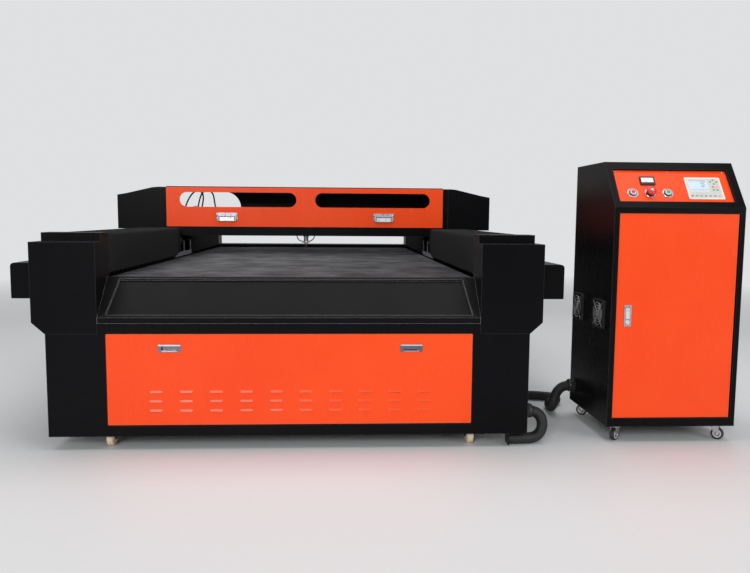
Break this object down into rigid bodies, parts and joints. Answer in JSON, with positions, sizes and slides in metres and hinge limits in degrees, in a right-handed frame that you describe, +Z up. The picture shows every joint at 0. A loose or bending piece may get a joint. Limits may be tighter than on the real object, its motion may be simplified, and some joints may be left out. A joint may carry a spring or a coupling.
{
  "type": "laser cutting and engraving machine",
  "caption": "Flatbed laser cutter and engraver with a moving hooded gantry over a slat table, pleated rail covers and a sloping-console control cabinet joined by conduits.",
  "frame": {"origin": "middle of the footprint of the whole machine, on the floor", "axes": "+Z up, the front of the bed and of the cabinet faces -Y, the cabinet stands on the +X side"},
  "size_m": [2.946, 3.3606, 1.159],
  "materials": {
    "black_coat": "fine textured satin black powder coat",
    "orange_coat": "smooth satin orange-red powder coat",
    "steel": "ground bright steel",
    "galvanised": "plain zinc-coated steel",
    "slat_aluminium": "drawn aluminium",
    "chrome": "bright chrome plate",
    "bellows_fabric": "black coated folding fabric",
    "beige_nylon": "beige nylon",
    "wheel_black": "black rubber tread",
    "laser_glass": "clear blown glass",
    "cable_black": "black cable sheath",
    "conduit_rubber": "dark ribbed conduit",
    "head_grey": "dark anodised",
    "nozzle_brass": "turned brass",
    "black_plastic": "moulded black",
    "cream_plastic": "moulded off-white",
    "green_plastic": "moulded green",
    "red_plastic": "moulded red"
  },
  "bodies": {
    "machine": {"bed_frame": "black_coat", "side_panel_right": "black_coat", "side_panel_left": "black_coat", "front_surround": "black_coat", "rear_panel": "black_coat", "front_chute": "black_coat", "end_box_right": "black_coat", "end_box_left": "black_coat", "chain_cover_right": "black_coat", "chain_cover_left": "black_coat", "side_rails": "steel", "bellows_front_left": "bellows_fabric", "bellows_front_right": "bellows_fabric", "bellows_rear_left": "bellows_fabric", "bellows_rear_right": "bellows_fabric", "table_frame": "galvanised", "table_slats": "slat_aluminium", "waste_tray": "galvanised", "cabinet_shell": "black_coat", "electrics_plate": "galvanised", "console_panel": "orange_coat", "ammeter": "black_plastic", "controller": "cream_plastic", "conduit_near": "conduit_rubber", "conduit_far": "conduit_rubber"},
    "front_door": {"front_door": "orange_coat", "door_pulls": "chrome"},
    "gantry": {"gantry_frame": "black_coat", "gantry_hood": "black_coat", "cross_drive": "steel", "laser_tube": "laser_glass", "gantry_cables": "cable_black"},
    "gantry_cover": {"gantry_cover": "orange_coat"},
    "cover_handle_left": {"cover_handle_left": "chrome"},
    "cover_handle_right": {"cover_handle_right": "chrome"},
    "head": {"head_carriage": "slat_aluminium"},
    "focus": {"focus_slide": "head_grey", "nozzle": "nozzle_brass", "head_hose": "cable_black"},
    "cabinet_door": {"cabinet_door": "orange_coat", "door_lock": "chrome"},
    "lock_lever": {"lock_lever": "chrome"},
    "lock_button": {"lock_button": "chrome"},
    "start_button": {"start_button": "green_plastic"},
    "stop_button": {"stop_button": "red_plastic"},
    "emergency_stop": {"emergency_stop": "red_plastic"},
    "fan_rotor_front": {"fan_rotor_front": "black_plastic"},
    "fan_rotor_rear": {"fan_rotor_rear": "black_plastic"},
    "bed_wheel_front_left": {"bed_wheel_front_left": "beige_nylon"},
    "bed_wheel_front_right": {"bed_wheel_front_right": "beige_nylon"},
    "bed_wheel_rear_left": {"bed_wheel_rear_left": "beige_nylon"},
    "bed_wheel_rear_right": {"bed_wheel_rear_right": "beige_nylon"},
    "caster_fork_front_left": {"caster_fork_front_left": "steel"},
    "caster_wheel_front_left": {"caster_wheel_front_left": "wheel_black"},
    "caster_fork_front_right": {"caster_fork_front_right": "steel"},
    "caster_wheel_front_right": {"caster_wheel_front_right": "wheel_black"},
    "caster_fork_rear_left": {"caster_fork_rear_left": "steel"},
    "caster_wheel_rear_left": {"caster_wheel_rear_left": "wheel_black"},
    "caster_fork_rear_right": {"caster_fork_rear_right": "steel"},
    "caster_wheel_rear_right": {"caster_wheel_rear_right": "wheel_black"}
  },
  "joints": [
    {"name": "gantry_y", "type": "slide", "parent": "machine", "child": "gantry", "axis": [0, 1, 0], "range_m": [-1.2, 1], "deforming": ["bellows_front_left", "bellows_front_right", "bellows_rear_left", "bellows_rear_right"]},
    {"name": "head_x", "type": "slide", "parent": "gantry", "child": "head", "axis": [1, 0, 0], "range_m": [-0.65, 0.65]},
    {"name": "focus_z", "type": "slide", "parent": "head", "child": "focus", "axis": [0, 0, 1], "range_m": [-0.03, 0.03]},
    {"name": "front_door_hinge", "type": "hinge", "parent": "machine", "child": "front_door", "pos_m": [-0.361, -1.66935, 0.109], "axis": [1, 0, 0], "range_deg": [0, 90]},
    {"name": "gantry_cover_hinge", "type": "hinge", "parent": "gantry", "child": "gantry_cover", "pos_m": [-0.361, -0.06815, 1.094], "axis": [-1, 0, 0], "range_deg": [0, 100]},
    {"name": "cover_handle_left_hinge", "type": "hinge", "parent": "gantry_cover", "child": "cover_handle_left", "pos_m": [-0.829, -0.08265, 0.932], "axis": [-1, 0, 0], "range_deg": [0, 100]},
    {"name": "cover_handle_right_hinge", "type": "hinge", "parent": "gantry_cover", "child": "cover_handle_right", "pos_m": [0.107, -0.08265, 0.932], "axis": [-1, 0, 0], "range_deg": [0, 100]},
    {"name": "cabinet_door_hinge", "type": "hinge", "parent": "machine", "child": "cabinet_door", "pos_m": [1.442, -1.61965, 0.5245], "axis": [0, 0, 1], "range_deg": [0, 100]},
    {"name": "lock_lever_hinge", "type": "hinge", "parent": "cabinet_door", "child": "lock_lever", "pos_m": [1.003, -1.62465, 0.561], "axis": [-1, 0, 0], "range_deg": [0, 35]},
    {"name": "lock_button_press", "type": "slide", "parent": "cabinet_door", "child": "lock_button", "axis": [0, 1, 0], "range_m": [0, 0.003], "stiffness_N_per_m": 400},
    {"name": "start_button_press", "type": "slide", "parent": "machine", "child": "start_button", "axis": [0, 0.8076, -0.5897], "range_m": [0, 0.003], "stiffness_N_per_m": 400},
    {"name": "stop_button_press", "type": "slide", "parent": "machine", "child": "stop_button", "axis": [0, 0.8076, -0.5897], "range_m": [0, 0.003], "stiffness_N_per_m": 400},
    {"name": "emergency_stop_press", "type": "slide", "parent": "machine", "child": "emergency_stop", "axis": [0, 0.8076, -0.5897], "range_m": [0, 0.004]},
    {"name": "fan_front_spin", "type": "hinge", "parent": "machine", "child": "fan_rotor_front", "pos_m": [0.946, -1.50665, 0.524], "axis": [1, 0, 0], "continuous": true},
    {"name": "fan_rear_spin", "type": "hinge", "parent": "machine", "child": "fan_rotor_rear", "pos_m": [0.946, -1.23865, 0.524], "axis": [1, 0, 0], "continuous": true},
    {"name": "bed_wheel_front_left_spin", "type": "hinge", "parent": "machine", "child": "bed_wheel_front_left", "pos_m": [-1.086, -1.60965, 0.0375], "axis": [1, 0, 0], "continuous": true},
    {"name": "bed_wheel_front_right_spin", "type": "hinge", "parent": "machine", "child": "bed_wheel_front_right", "pos_m": [0.364, -1.60965, 0.0375], "axis": [1, 0, 0], "continuous": true},
    {"name": "bed_wheel_rear_left_spin", "type": "hinge", "parent": "machine", "child": "bed_wheel_rear_left", "pos_m": [-1.086, 1.55035, 0.0375], "axis": [1, 0, 0], "continuous": true},
    {"name": "bed_wheel_rear_right_spin", "type": "hinge", "parent": "machine", "child": "bed_wheel_rear_right", "pos_m": [0.364, 1.55035, 0.0375], "axis": [1, 0, 0], "continuous": true},
    {"name": "caster_front_left_swivel", "type": "hinge", "parent": "machine", "child": "caster_fork_front_left", "pos_m": [0.992, -1.58165, 0.06], "axis": [0, 0, 1], "continuous": true},
    {"name": "caster_front_left_spin", "type": "hinge", "parent": "caster_fork_front_left", "child": "caster_wheel_front_left", "pos_m": [0.98069, -1.59296, 0.025], "axis": [0.7071, -0.7071, 0], "continuous": true},
    {"name": "caster_front_right_swivel", "type": "hinge", "parent": "machine", "child": "caster_fork_front_right", "pos_m": [1.413, -1.58165, 0.06], "axis": [0, 0, 1], "continuous": true},
    {"name": "caster_front_right_spin", "type": "hinge", "parent": "caster_fork_front_right", "child": "caster_wheel_front_right", "pos_m": [1.42526, -1.59194, 0.025], "axis": [0.6428, 0.766, 0], "continuous": true},
    {"name": "caster_rear_left_swivel", "type": "hinge", "parent": "machine", "child": "caster_fork_rear_left", "pos_m": [0.992, -1.19865, 0.06], "axis": [0, 0, 1], "continuous": true},
    {"name": "caster_rear_left_spin", "type": "hinge", "parent": "caster_fork_rear_left", "child": "caster_wheel_rear_left", "pos_m": [0.97814, -1.19065, 0.025], "axis": [-0.5, -0.866, 0], "continuous": true},
    {"name": "caster_rear_right_swivel", "type": "hinge", "parent": "machine", "child": "caster_fork_rear_right", "pos_m": [1.413, -1.19865, 0.06], "axis": [0, 0, 1], "continuous": true},
    {"name": "caster_rear_right_spin", "type": "hinge", "parent": "caster_fork_rear_right", "child": "caster_wheel_rear_right", "pos_m": [1.42803, -1.19318, 0.025], "axis": [-0.342, 0.9397, 0], "continuous": true}
  ]
}
